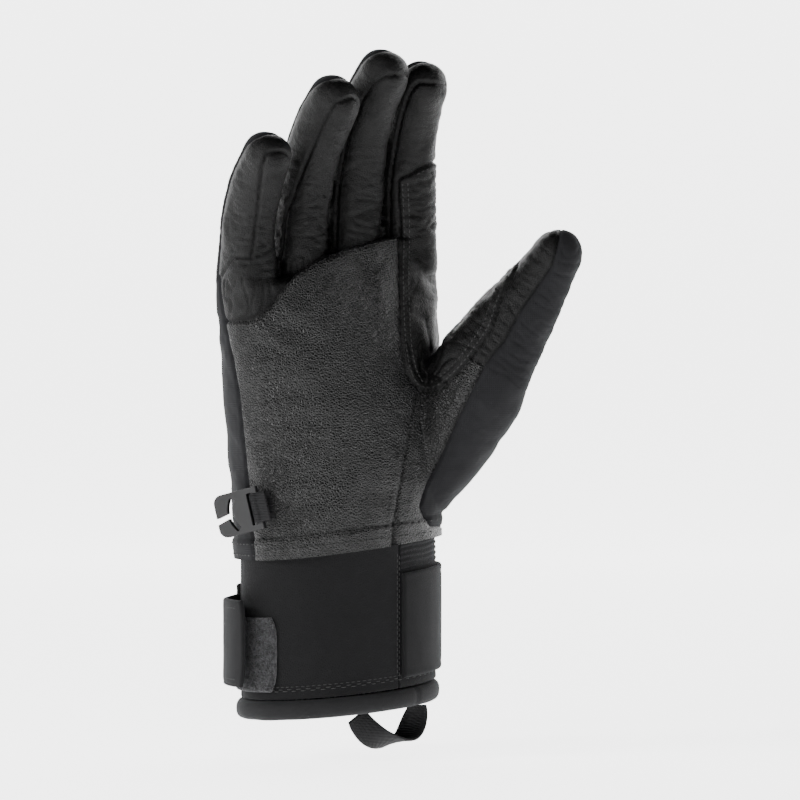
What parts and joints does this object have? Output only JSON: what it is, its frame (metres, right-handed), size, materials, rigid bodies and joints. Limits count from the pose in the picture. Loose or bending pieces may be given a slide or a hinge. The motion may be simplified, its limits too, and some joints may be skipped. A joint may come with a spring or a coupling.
{
  "type": "ski glove",
  "caption": "Right-hand insulated leather and softshell ski glove with a short neoprene cuff, a wrist strap, a hanging loop and a plastic glove clip.",
  "frame": {"origin": "centre of the cuff's mouth, where the hand goes in, at the level of the rim's lowest point", "axes": "+Z from the mouth to the fingertips, -Y out of the palm, +X towards the thumb"},
  "size_m": [0.1399, 0.0929, 0.2803],
  "materials": {
    "black_leather": "semi-matt, fine grain",
    "grained_leather": "semi-matt, pebbled grain",
    "softshell": "matt stretch weave",
    "neoprene": "matt jersey face",
    "fleece": "brushed",
    "wadding": "fibre filling",
    "hook_and_loop": "fuzzy",
    "webbing": "woven tape",
    "black_plastic": "fine moulded texture",
    "reflective_print": "printed dots"
  },
  "bodies": {
    "hand": {"back_panel": "softshell", "back_print": "reflective_print", "palm_panel": "grained_leather", "finger_root_leather": "black_leather", "thumb_ball_panel": "grained_leather", "thumb_web_patch": "black_leather", "hand_insulation": "wadding", "hand_liner": "fleece", "wrist_elastic": "webbing", "cuff_back_panel": "neoprene", "cuff_front_panel": "neoprene", "cuff_liner": "fleece", "hem_binding": "neoprene", "loop_patch": "hook_and_loop", "loop_anchor": "webbing", "strap_root": "neoprene", "clip_webbing": "webbing"},
    "little_base": {"little_finger_base_palm": "black_leather", "little_finger_base_back": "softshell", "little_finger_base_liner": "fleece"},
    "little_tip": {"little_finger_tip_palm": "black_leather", "little_finger_tip_back": "softshell", "little_finger_tip_sidewall": "black_leather", "little_finger_tip_liner": "fleece"},
    "ring_base": {"ring_finger_base_palm": "black_leather", "ring_finger_base_back": "softshell", "ring_finger_base_liner": "fleece"},
    "ring_tip": {"ring_finger_tip_palm": "black_leather", "ring_finger_tip_back": "softshell", "ring_finger_tip_sidewall": "black_leather", "ring_finger_tip_liner": "fleece"},
    "middle_base": {"middle_finger_base_palm": "black_leather", "middle_finger_base_back": "softshell", "middle_finger_base_liner": "fleece"},
    "middle_tip": {"middle_finger_tip_palm": "black_leather", "middle_finger_tip_back": "softshell", "middle_finger_tip_sidewall": "black_leather", "middle_finger_tip_liner": "fleece"},
    "index_base": {"index_finger_base_palm": "black_leather", "index_finger_base_back": "softshell", "index_finger_base_liner": "fleece"},
    "index_tip": {"index_finger_tip_palm": "black_leather", "index_finger_tip_back": "softshell", "index_finger_tip_sidewall": "black_leather", "index_finger_tip_liner": "fleece"},
    "thumb_base": {"thumb_base_palm": "black_leather", "thumb_base_back": "softshell", "thumb_base_liner": "fleece"},
    "thumb_tip": {"thumb_tip_palm": "black_leather", "thumb_tip_back": "softshell", "thumb_tip_sidewall": "black_leather", "thumb_tip_liner": "fleece"},
    "strap_band": {"strap_band": "neoprene"},
    "strap_tab": {"strap_tab": "neoprene", "hook_patch": "hook_and_loop"},
    "hang_loop": {"hang_loop": "webbing"},
    "clip_hook": {"clip_hook": "black_plastic"}
  },
  "joints": [
    {"name": "little_knuckle", "type": "hinge", "parent": "hand", "child": "little_base", "pos_m": [-0.04359, -0.0092, 0.17526], "axis": [0.9996, 0, 0.03], "range_deg": [-8, 55], "stiffness_Nm_per_rad": 0.05},
    {"name": "little_middle_bend", "type": "hinge", "parent": "little_base", "child": "little_tip", "pos_m": [-0.04428, -0.01103, 0.19818], "axis": [0.9996, 0, 0.03], "range_deg": [-8, 60], "stiffness_Nm_per_rad": 0.03},
    {"name": "ring_knuckle", "type": "hinge", "parent": "hand", "child": "ring_base", "pos_m": [-0.01982, -0.00833, 0.18398], "axis": [0.999, 0, -0.045], "range_deg": [-8, 55], "stiffness_Nm_per_rad": 0.05},
    {"name": "ring_middle_bend", "type": "hinge", "parent": "ring_base", "child": "ring_tip", "pos_m": [-0.01853, -0.01159, 0.2127], "axis": [0.999, 0, -0.045], "range_deg": [-8, 60], "stiffness_Nm_per_rad": 0.03},
    {"name": "middle_knuckle", "type": "hinge", "parent": "hand", "child": "middle_base", "pos_m": [0.0056, -0.00794, 0.19115], "axis": [1, 0, -0.005], "range_deg": [-8, 55], "stiffness_Nm_per_rad": 0.05},
    {"name": "middle_middle_bend", "type": "hinge", "parent": "middle_base", "child": "middle_tip", "pos_m": [0.00575, -0.01075, 0.22207], "axis": [1, 0, -0.005], "range_deg": [-8, 60], "stiffness_Nm_per_rad": 0.03},
    {"name": "index_knuckle", "type": "hinge", "parent": "hand", "child": "index_base", "pos_m": [0.03122, -0.00829, 0.19316], "axis": [0.999, 0, 0.045], "range_deg": [-8, 55], "stiffness_Nm_per_rad": 0.05},
    {"name": "index_middle_bend", "type": "hinge", "parent": "index_base", "child": "index_tip", "pos_m": [0.02994, -0.01035, 0.22145], "axis": [0.999, 0, 0.045], "range_deg": [-8, 60], "stiffness_Nm_per_rad": 0.03},
    {"name": "thumb_base_bend", "type": "hinge", "parent": "hand", "child": "thumb_base", "pos_m": [0.04607, -0.03783, 0.14084], "axis": [0.7042, -0.4574, -0.543], "range_deg": [-8, 35], "stiffness_Nm_per_rad": 0.05},
    {"name": "thumb_tip_bend", "type": "hinge", "parent": "thumb_base", "child": "thumb_tip", "pos_m": [0.0586, -0.04478, 0.16295], "axis": [0.7042, -0.4574, -0.543], "range_deg": [-8, 45], "stiffness_Nm_per_rad": 0.03},
    {"name": "strap_peel", "type": "hinge", "parent": "hand", "child": "strap_band", "pos_m": [0.03816, 0.01728, 0.03946], "axis": [0, 0, -1], "range_deg": [0, 75], "stiffness_Nm_per_rad": 0.01},
    {"name": "tab_peel", "type": "hinge", "parent": "strap_band", "child": "strap_tab", "pos_m": [-0.03731, 0.01823, 0.03262], "axis": [0, 0, -1], "range_deg": [0, 90], "stiffness_Nm_per_rad": 0.01},
    {"name": "loop_swing", "type": "hinge", "parent": "hand", "child": "hang_loop", "pos_m": [0.01018, -0.02009, 0.00323], "axis": [0.9741, 0.2152, 0.0696], "range_deg": [-50, 50]},
    {"name": "clip_swing", "type": "hinge", "parent": "hand", "child": "clip_hook", "pos_m": [-0.046, -0.014, 0.0848], "axis": [-0.1376, 0.199, 0.9703], "range_deg": [-5, 75]}
  ]
}
